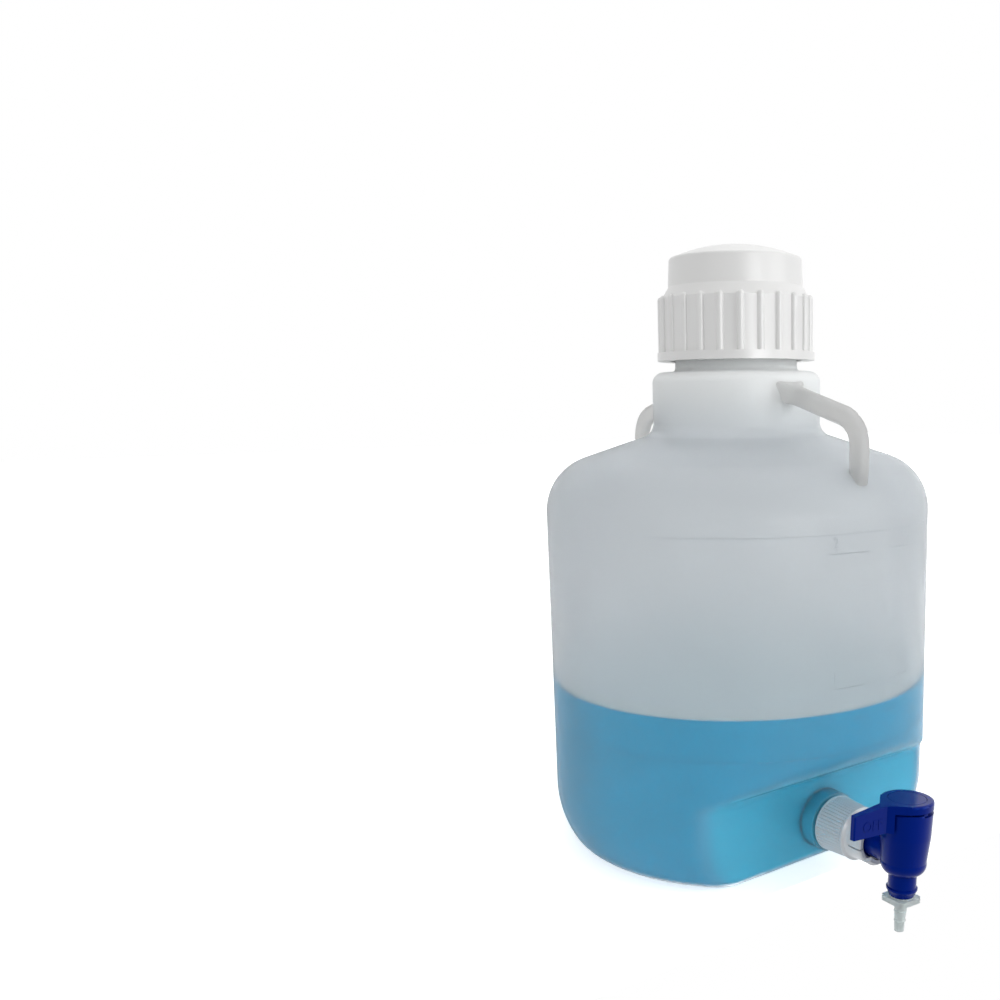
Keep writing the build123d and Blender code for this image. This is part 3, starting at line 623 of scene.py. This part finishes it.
bottle_plastic = make_bottle_plastic()
handle_plastic = milky("handle_plastic", HANDLE_COLOUR, roughness=0.7, clear=HANDLE_CLEAR)[0]
water = make_water()
# painted light: the contents' top surface is painted pale
water_top_painted_light = plastic("water_surface_painted_light", WATER_TOP_PAINTED_LIGHT_COLOUR, roughness=0.3, grain=0.0, IOR=WATER_IOR)
cap_plastic = plastic("cap_plastic", CAP_COLOUR, roughness=0.38, spread=0.012)
liner_foam = plastic("liner_foam", LINER_COLOUR, roughness=0.7, grain=0.5)
collar_plastic = plastic("collar_plastic", COLLAR_COLOUR, roughness=0.34)
seal_rubber = plastic("seal_rubber", RUBBER_COLOUR, roughness=0.55, grain=0.3)
tap_blue = plastic(
    "tap_blue", TAP_COLOUR, roughness=0.12, grain=0.05, spread=0.08,
    Specular_IOR_Level=0.22, Specular_Tint=TAP_GLOSS_COLOUR)
plug_plastic = plastic("plug_plastic", PLUG_COLOUR, roughness=0.3)
barb_plastic = plastic(
    "barb_plastic", BARB_COLOUR, roughness=0.3, Transmission_Weight=0.5, IOR=1.4)

NODE_MATERIALS = {
    "cap": cap_plastic,
    "cap_liner": liner_foam,
    "spigot_gasket": seal_rubber,
    "spigot_collar": collar_plastic,
    "inlet_seal": seal_rubber,
    "tap_body": tap_blue,
    "tap_plug": plug_plastic,
    "plug_seal": seal_rubber,
    "tap_lever": tap_blue,
    "lever_cover": tap_blue,
    "hose_barb": barb_plastic,
    "carboy_body": bottle_plastic,
    "liquid": water,
}
for node, finish in NODE_MATERIALS.items():
    node_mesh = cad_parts[node].data
    node_mesh.materials.clear()
    node_mesh.materials.append(finish)


# ---------------------------------------------------------------- bottle
def make_bottle():
    """The blown shell: outside up to the mouth and back down inside, as one closed surface."""
    outside = chain(lower_outline(0, SIDE_TOP), upper_outline(0))
    mouth = neck_outline()
    inside = chain(lower_outline(WALL, SIDE_TOP), upper_outline(WALL))
    outline = chain(outside, mouth, inside[::-1])
    first_inside = len(outside) + len(mouth) - 2
    insets = {point: WALL if index > first_inside else 0.0 for index, point in enumerate(outline)}
    verts, faces = swept_surface(outline, lambda r, z: insets[(r, z)])
    bottle = piece("bottle_shell", verts, faces, "bottle", "bottle_plastic", bottle_plastic)
    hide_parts("carboy_body")
    paint(bottle, "edge_share", edge_share)


def shoulder_height(r):
    """Height of the shoulder's rounded edge at a distance from the axis, or 0 elsewhere."""
    out = r - (BODY_RADIUS - SHOULDER_RADIUS)
    if 0 < out < SHOULDER_RADIUS:
        return SIDE_TOP + math.sqrt(SHOULDER_RADIUS ** 2 - out ** 2)
    return 0.0


def handle_flare_end():
    """How far out the hollows end where the arm widens into the boss."""
    wide = HANDLE_THICKNESS / 2 - HANDLE_EDGE + HANDLE_FLARE_WIDTH
    swing = math.acos(1 - HANDLE_FLARE_WIDTH / HANDLE_FLARE_RADIUS)
    return math.sqrt(BOSS_RADIUS ** 2 - wide ** 2) + HANDLE_FLARE_RADIUS * math.sin(swing)


def root_flare(y):
    """How much wider each side of the arm is at a distance from the bottle's axis."""
    inwards = min(max(handle_flare_end() - y, 0), HANDLE_FLARE_RADIUS * HANDLE_FLARE_SHARE)
    return HANDLE_FLARE_RADIUS - math.sqrt(HANDLE_FLARE_RADIUS ** 2 - inwards ** 2)


def handle_path():
    """The strap's middle line in the (Y, Z) plane: the arm, the bend and the leg."""
    slope = math.radians(HANDLE_SLOPE)
    half = HANDLE_BAR / 2
    root_z = LEDGE_HEIGHT - HANDLE_DROP - half / math.cos(slope)
    leg_y = HANDLE_REACH - half
    bend = HANDLE_BEND - half

    def arm_z(y):
        return root_z - (y - BOSS_RADIUS) * math.tan(slope)

    # the bend touches the arm and the leg
    setback = bend * math.tan((math.pi / 2 - slope) / 2)
    corner = (leg_y, arm_z(leg_y))
    arm_end = (corner[0] - setback * math.cos(slope), corner[1] + setback * math.sin(slope))
    centre = (leg_y - bend, corner[1] - setback)
    foot_z = shoulder_height(HANDLE_REACH - HANDLE_FOOT_TAPER + HANDLE_FOOT_FLARE) - HANDLE_SUNK
    return chain(
        straight((HANDLE_ROOT_START, arm_z(HANDLE_ROOT_START)), arm_end, 14),
        arc(centre, bend, 90 - HANDLE_SLOPE, 0, 10),
        straight((leg_y, centre[1]), (leg_y, foot_z), 10))


def handle_section(wide, tall, taper):
    """A rounded bar's section; the taper leans its outer face in."""
    points = []
    for quarter, (side_x, side_h) in enumerate(((1, 1), (-1, 1), (-1, -1), (1, -1))):
        for k in range(HANDLE_CORNER_STEPS + 1):
            angle = math.pi / 2 * (quarter + k / HANDLE_CORNER_STEPS)
            x = side_x * (wide - HANDLE_EDGE) + HANDLE_EDGE * math.cos(angle)
            h = side_h * (tall - HANDLE_EDGE) + HANDLE_EDGE * math.sin(angle)
            points.append((x, h - taper if side_h > 0 else h))
    return points


def kept_shallow(point):
    """A handle's point, no deeper in the boss or the shoulder than the middle of the wall."""
    from_axis = math.hypot(point.x, point.y)
    root_r = BOSS_RADIUS - HANDLE_SUNK
    if from_axis < root_r:
        point.y = math.sqrt(root_r ** 2 - point.x ** 2)
    point.z = max(point.z, shoulder_height(from_axis) - HANDLE_SUNK)
    return point


def make_handle(name, side):
    """A strap handle from the boss out and down to the shoulder, on the +Y or -Y side."""
    path = handle_path()
    length = [0]
    for a, b in zip(path, path[1:]):
        length.append(length[-1] + math.dist(a, b))
    verts = []
    for index, (y, z) in enumerate(path):
        before = path[max(index - 1, 0)]
        after = path[min(index + 1, len(path) - 1)]
        along = Vector((0, after[0] - before[0], after[1] - before[1])).normalized()
        out = Vector((0, -along.z, along.y))
        near_root = max(0, 1 - length[index] / HANDLE_FOOT_LENGTH)
        near_foot = max(0, 1 - (length[-1] - length[index]) / HANDLE_FOOT_LENGTH)
        wide = HANDLE_THICKNESS / 2 + root_flare(y) + HANDLE_FOOT_FLARE * near_foot ** 2
        tall = HANDLE_BAR / 2 + HANDLE_FOOT_FLARE * (near_root ** 2 + near_foot ** 2)
        section = handle_section(wide, tall, HANDLE_FOOT_TAPER * near_foot ** 1.5)
        for x, h in section:
            point = kept_shallow(Vector((x, y, z)) + out * h)
            verts.append((point.x, point.y * side, point.z))
    faces = tube_faces(len(path), len(section))
    handle = piece(name, verts, faces, "bottle", "bottle_plastic", handle_plastic)
    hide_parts("carboy_body")


# ---------------------------------------------------------------- spigot boss and contents
SPIGOT_BOSS_END = PANEL + STUB_BOSS_LENGTH
SPIGOT_BOSS_ROOM = STUB_BOSS_RADIUS - WALL


def make_stub():
    """The hollow boss on the recess's panel, and the stub for the collar."""
    pad = PANEL + STUB_PAD_RISE
    start = pad - STUB_BOSS_SEAT
    end = SPIGOT_BOSS_END + STUB_LENGTH
    ceiling = SPIGOT_BOSS_END - WALL
    foot_r = STUB_BOSS_RADIUS + STUB_BOSS_FOOT
    edge_centre = (STUB_BOSS_RADIUS - STUB_BOSS_EDGE, SPIGOT_BOSS_END - STUB_BOSS_EDGE)
    outline = chain(
        [(SPIGOT_BOSS_ROOM, start), (foot_r, start)],
        arc((foot_r, pad + STUB_BOSS_FOOT), STUB_BOSS_FOOT, 270, 180, 6),
        arc(edge_centre, STUB_BOSS_EDGE, 0, 90, 4),
        [(STUB_RADIUS, SPIGOT_BOSS_END), (STUB_RADIUS, end - STUB_TIP),
         (STUB_RADIUS - STUB_TIP, end), (STUB_BORE, end),
         (STUB_BORE, ceiling), (SPIGOT_BOSS_ROOM, ceiling)])
    verts, faces = turned(outline, AROUND_STUB, ALONG_INLET)
    stub = piece("spigot_stub", verts, faces, "bottle", "bottle_plastic", bottle_plastic)
    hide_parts("carboy_body")


def make_stub_thread():
    """The thread that the collar nut screws onto."""
    verts, faces = helix_ridge(
        STUB_RADIUS, STUB_THREAD_DEPTH, STUB_THREAD_WIDTH, COLLAR_PITCH, STUB_THREAD_TURNS,
        SPIGOT_BOSS_END + STUB_THREAD_GAP, AROUND_STUB_THREAD, ALONG_INLET)
    piece("stub_thread", verts, faces, "bottle", "bottle_plastic", bottle_plastic)


def make_boss_contents():
    """The contents inside the spigot's boss."""
    full_r = SPIGOT_BOSS_ROOM + WETTING
    start = PANEL - WALL
    end = SPIGOT_BOSS_END - WALL + WETTING
    outline = [(0, start), (full_r, start), (full_r, end), (0, end)]
    verts, faces = turned(outline, AROUND_STUB, ALONG_INLET)
    contents = piece("boss_contents", verts, faces, "bottle", "blue_water", water)
    # painted light: all of the boss's contents take the panel's lighter colour, lifting the shade
    # inside the boss
    paint(contents, "panel_painted_light", lambda x, y, z: 1.0)
    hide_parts("liquid")


def make_liquid():
    """The contents: the cavity's form up to the fill line, with a small meniscus."""
    inset = WALL - WETTING
    wall = [point for point in lower_outline(inset, SIDE_TOP) if point[1] < FILL_HEIGHT]
    side_r = BODY_RADIUS - inset
    meniscus = []
    for k in range(MENISCUS_STEPS + 1):
        part = k / MENISCUS_STEPS
        drop = MENISCUS_RISE * (1 - (1 - part) ** 2)
        meniscus.append((side_r - MENISCUS_REACH * part, FILL_HEIGHT - drop))
    surface = straight(meniscus[-1], (0, meniscus[-1][1]), 6)
    outline = chain(wall, meniscus, surface)
    verts, faces = swept_surface(outline, lambda r, z: inset)
    fill = piece("blue_contents", verts, faces, "bottle", "blue_water", water)
    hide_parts("liquid")
    # painted light on the contents behind the recessed panel
    paint(fill, "panel_painted_light", panel_painted_light)
    # the level surface's faces take the pale painted-light colour
    fill.data.materials.append(water_top_painted_light)
    for face in fill.data.polygons:
        if face.normal.z > LEVEL and face.center.z > FILL_HEIGHT - 2 * MENISCUS_RISE:
            face.material_index = 1


# ---------------------------------------------------------------- moulded marks
def raised_arc(height, ends, width, rise):
    """A low ridge round the body at a height; each end fades over a quarter of its length."""
    first, last = ends
    steps = max(2, int(abs(last - first) / MARK_STEP))
    verts = []
    for k in range(steps + 1):
        angle = math.radians(first + (last - first) * k / steps)
        fade = min(1, 4 * k / steps, 4 * (steps - k) / steps)
        for out, up in ridge_section(-MARK_SINK, rise * fade, width):
            r = BODY_RADIUS + out
            verts.append((r * math.cos(angle), r * math.sin(angle), height + up))
    return verts, tube_faces(steps + 1, 4)


def join(*parts):
    """One list of vertices and faces from several."""
    verts, faces = [], []
    for more_verts, more_faces in parts:
        base = len(verts)
        verts.extend(more_verts)
        faces.extend(tuple(base + i for i in face) for face in more_faces)
    return verts, faces


def lettering(text, height, depth):
    """Vertices and faces of raised lettering in the XY plane, centred, from the built-in font."""
    curve = bpy.data.curves.new("lettering", "FONT")
    curve.body = text
    curve.size = height
    curve.extrude = depth / 2
    curve.align_x = "CENTER"
    curve.align_y = "CENTER"
    obj = bpy.data.objects.new("lettering", curve)
    bpy.context.scene.collection.objects.link(obj)
    bpy.context.view_layer.update()
    mesh = bpy.data.meshes.new_from_object(obj)
    verts = [v.co.copy() for v in mesh.vertices]
    faces = [tuple(face.vertices) for face in mesh.polygons]
    bpy.data.objects.remove(obj)
    bpy.data.curves.remove(curve)
    bpy.data.meshes.remove(mesh)
    return verts, faces


def wrapped(shape, angle, height):
    """Flat lettering laid on the body's side at an angle in degrees about +Z."""
    verts, faces = shape
    placed = []
    for v in verts:
        turn = math.radians(angle) + v.x / BODY_RADIUS
        r = BODY_RADIUS + v.z
        placed.append((r * math.cos(turn), r * math.sin(turn), height + v.y))
    return placed, faces


# the tap's own frame: the barrel's axis leans a little, and the shut lever points along -X
AT_TAP = Matrix.Translation((0, -TAP_DISTANCE, INLET_HEIGHT)) @ Matrix.Rotation(TAP_LEAN, 4, "Y")


def make_lever_words():
    """OFF on the lever's near face and ON on its far face, raised, along the tapering blade."""
    for name, word, side in (("lever_word_off", "OFF", -1), ("lever_word_on", "ON", 1)):
        verts, faces = lettering(word, WORD_HEIGHT, 2 * WORD_RISE)
        placed = []
        for v in verts:
            x = WORD_MIDDLE - side * v.x
            share = (x - BLADE_ROOT_X) / (BLADE_TIP_X - BLADE_ROOT_X)
            half = (BLADE_ROOT_WIDTH + (BLADE_TIP_WIDTH - BLADE_ROOT_WIDTH) * share) / 2
            placed.append(AT_TAP @ Vector((x, side * (half + v.z), WORD_LEVEL + v.y)))
        piece(name, placed, faces, "lever", "tap_blue", tap_blue)


def make_mould_lines():
    """Two faint lines moulded round the side wall."""
    lines = []
    for z in MOULD_LINES:
        lines.append(raised_arc(z, MOULD_LINE_ENDS, MOULD_LINE_WIDTH, MOULD_LINE_RISE))
    piece("mould_lines", *join(*lines), "bottle", "bottle_plastic", bottle_plastic)


def make_graduations():
    """Long marks with a number at each gallon, and short ones at the quarters."""
    marks = []
    for label, z in GALLON_MARKS:
        for ends in GALLON_LINE_ENDS:
            marks.append(raised_arc(z, ends, MARK_WIDTH, MARK_RISE))
        number = lettering(label, NUMBER_HEIGHT, 2 * MARK_RISE)
        marks.append(wrapped(number, NUMBER_ANGLE, z + NUMBER_LIFT))
    for k in QUARTER_LINES:
        z = GALLON_MARKS[0][1] + GALLON / 4 * k
        for ends in QUARTER_LINE_ENDS:
            marks.append(raised_arc(z, ends, MARK_WIDTH, MARK_RISE))
    piece("graduations", *join(*marks), "bottle", "bottle_plastic", bottle_plastic)


# ---------------------------------------------------------------- threads
def make_neck_thread():
    """The thread round the neck, under the cap."""
    verts, faces = helix_ridge(
        CORE_RADIUS, NECK_THREAD_DEPTH, NECK_THREAD_WIDTH, CAP_PITCH, NECK_THREAD_TURNS,
        NECK_THREAD_START, AROUND_CAP_THREAD)
    piece("neck_thread", verts, faces, "bottle", "bottle_plastic", bottle_plastic)


def make_cap_thread():
    """The thread inside the cap's skirt."""
    verts, faces = helix_ridge(
        CAP_BORE, -CAP_THREAD_DEPTH, CAP_THREAD_WIDTH, CAP_PITCH, CAP_THREAD_TURNS,
        CAP_THREAD_START, AROUND_CAP_THREAD)
    piece("cap_thread", verts, faces, "cap", "cap_plastic", cap_plastic)


def make_collar_thread():
    """The thread inside the collar nut."""
    verts, faces = helix_ridge(
        COLLAR_BORE, -COLLAR_THREAD_DEPTH, COLLAR_THREAD_WIDTH, COLLAR_PITCH, COLLAR_THREAD_TURNS,
        SPIGOT_BOSS_END + COLLAR_THREAD_GAP, AROUND_STUB_THREAD, ALONG_INLET)
    piece("collar_thread", verts, faces, "collar", "collar_plastic", collar_plastic)


make_bottle()
make_handle("handle_back", 1)
make_handle("handle_front", -1)
make_stub()
make_stub_thread()
make_boss_contents()
make_liquid()
make_mould_lines()
make_graduations()
make_lever_words()
make_neck_thread()
make_cap_thread()
make_collar_thread()


# ---------------------------------------------------------------- stage, light and camera
WORLD_LEVEL = 0.55
STAGE_LIFT = 0.6
SHELF_REACH = 6.0
SHELF_THICKNESS = 0.02
SHELF_OVERHANG = 8 * MM         # from the spigot boss's end to the shelf's front edge
LIGHT_AIM = (0, 0, 0.18)


def seen_share(tree):
    """1 for what the camera sees straight, in gloss or through clear things, and 0 for light."""
    path = add(tree, "ShaderNodeLightPath")
    seen = path.outputs["Is Camera Ray"]
    for kind in ("Is Glossy Ray", "Is Transmission Ray"):
        either = add(tree, "ShaderNodeMath", operation="MAXIMUM")
        tree.links.new(seen, either.inputs[0])
        tree.links.new(path.outputs[kind], either.inputs[1])
        seen = either.outputs[0]
    return seen


def make_stage_material():
    """A pale surface that keeps shadows but shows white where it is seen."""
    material, tree, shader = new_material("shelf_white")
    shader.inputs["Base Color"].default_value = (0.9, 0.9, 0.9, 1)
    shader.inputs["Roughness"].default_value = 0.9
    shader.inputs["Emission Color"].default_value = (1, 1, 1, 1)
    lift = add(tree, "ShaderNodeMath", operation="MULTIPLY")
    lift.inputs[1].default_value = STAGE_LIFT
    tree.links.new(seen_share(tree), lift.inputs[0])
    tree.links.new(lift.outputs[0], shader.inputs["Emission Strength"])
    return material


def make_stage():
    """A shelf with its front edge behind the tap, which hangs lower than the bottle stands."""
    front = -(SPIGOT_BOSS_END + SHELF_OVERHANG)
    verts = [(-SHELF_REACH, front, 0), (SHELF_REACH, front, 0),
             (SHELF_REACH, SHELF_REACH, 0), (-SHELF_REACH, SHELF_REACH, 0)]
    verts += [(x, y, -SHELF_THICKNESS) for x, y, _ in verts]
    faces = [(0, 1, 2, 3), (7, 6, 5, 4), (0, 4, 5, 1), (1, 5, 6, 2), (2, 6, 7, 3), (3, 7, 4, 0)]
    mesh = bpy.data.meshes.new("shelf")
    mesh.from_pydata(verts, [], faces)
    shelf = bpy.data.objects.new("shelf", mesh)
    bpy.context.scene.collection.objects.link(shelf)
    mesh.materials.append(make_stage_material())


def make_world():
    """Even light on the object, and plain white where the world itself is seen."""
    world = bpy.data.worlds.new("studio")
    bpy.context.scene.world = world
    world.use_nodes = True
    tree = world.node_tree
    light = tree.nodes["Background"]
    light.inputs["Color"].default_value = (1, 1, 1, 1)
    level = add(tree, "ShaderNodeMapRange")
    level.inputs["To Min"].default_value = WORLD_LEVEL
    level.inputs["To Max"].default_value = 1.0
    tree.links.new(seen_share(tree), level.inputs["Value"])
    tree.links.new(level.outputs["Result"], light.inputs["Strength"])


def soft_light(name, place, size, power):
    """A large lamp aimed at the middle of the bottle."""
    data = bpy.data.lights.new(name, "AREA")
    data.shape = "RECTANGLE"
    data.size, data.size_y = size
    data.energy = power
    lamp = bpy.data.objects.new(name, data)
    bpy.context.scene.collection.objects.link(lamp)
    lamp.location = place
    aim = Vector(LIGHT_AIM) - Vector(place)
    lamp.rotation_euler = aim.to_track_quat("-Z", "Y").to_euler()
    return lamp


def make_lights():
    """Three soft lamps, and a fourth for the highlights alone."""
    soft_light("right_softbox", place=(0.9, -1.3, 0.7), size=(0.9, 1.4), power=14)
    soft_light("left_softbox", place=(-1.6, -0.6, 0.9), size=(1.2, 1.4), power=5)
    soft_light("top_softbox", place=(0.2, 0.3, 1.7), size=(1.6, 1.6), power=8)
    # this one shows only in the soft highlights on the shoulder, the boss and the cap
    window = soft_light("highlight_softbox", place=(-0.15, -1.6, 0.36), size=(0.55, 0.45), power=18)
    window.visible_diffuse = False
    window.visible_transmission = False


def make_camera():
    """At the photograph's viewpoint: 38 degrees left of the tap, a little above the shoulder."""
    azimuth = math.radians(-38)
    distance = 0.68447
    height = 0.28794
    pitch = math.radians(9.69)
    roll = math.radians(-0.5)
    # the photograph's size, focal length and optical centre in pixels
    image = 1000
    focal = 1029.86
    centre_x = 737.89
    centre_y = 575.31
    data = bpy.data.cameras.new("camera")
    data.sensor_width = 36
    data.lens = data.sensor_width * focal / image
    data.shift_x = (image / 2 - centre_x) / image
    data.shift_y = (centre_y - image / 2) / image
    camera = bpy.data.objects.new("camera", data)
    bpy.context.scene.collection.objects.link(camera)
    camera.location = (distance * math.sin(azimuth), -distance * math.cos(azimuth), height)
    look = Matrix.Rotation(azimuth, 4, "Z") @ Matrix.Rotation(math.pi / 2 - pitch, 4, "X")
    look = look @ Matrix.Rotation(roll, 4, "Z")
    camera.rotation_euler = look.to_euler()
    bpy.context.scene.camera = camera


make_stage()
make_world()
make_lights()
make_camera()
bpy.context.scene.view_settings.view_transform = "Standard"
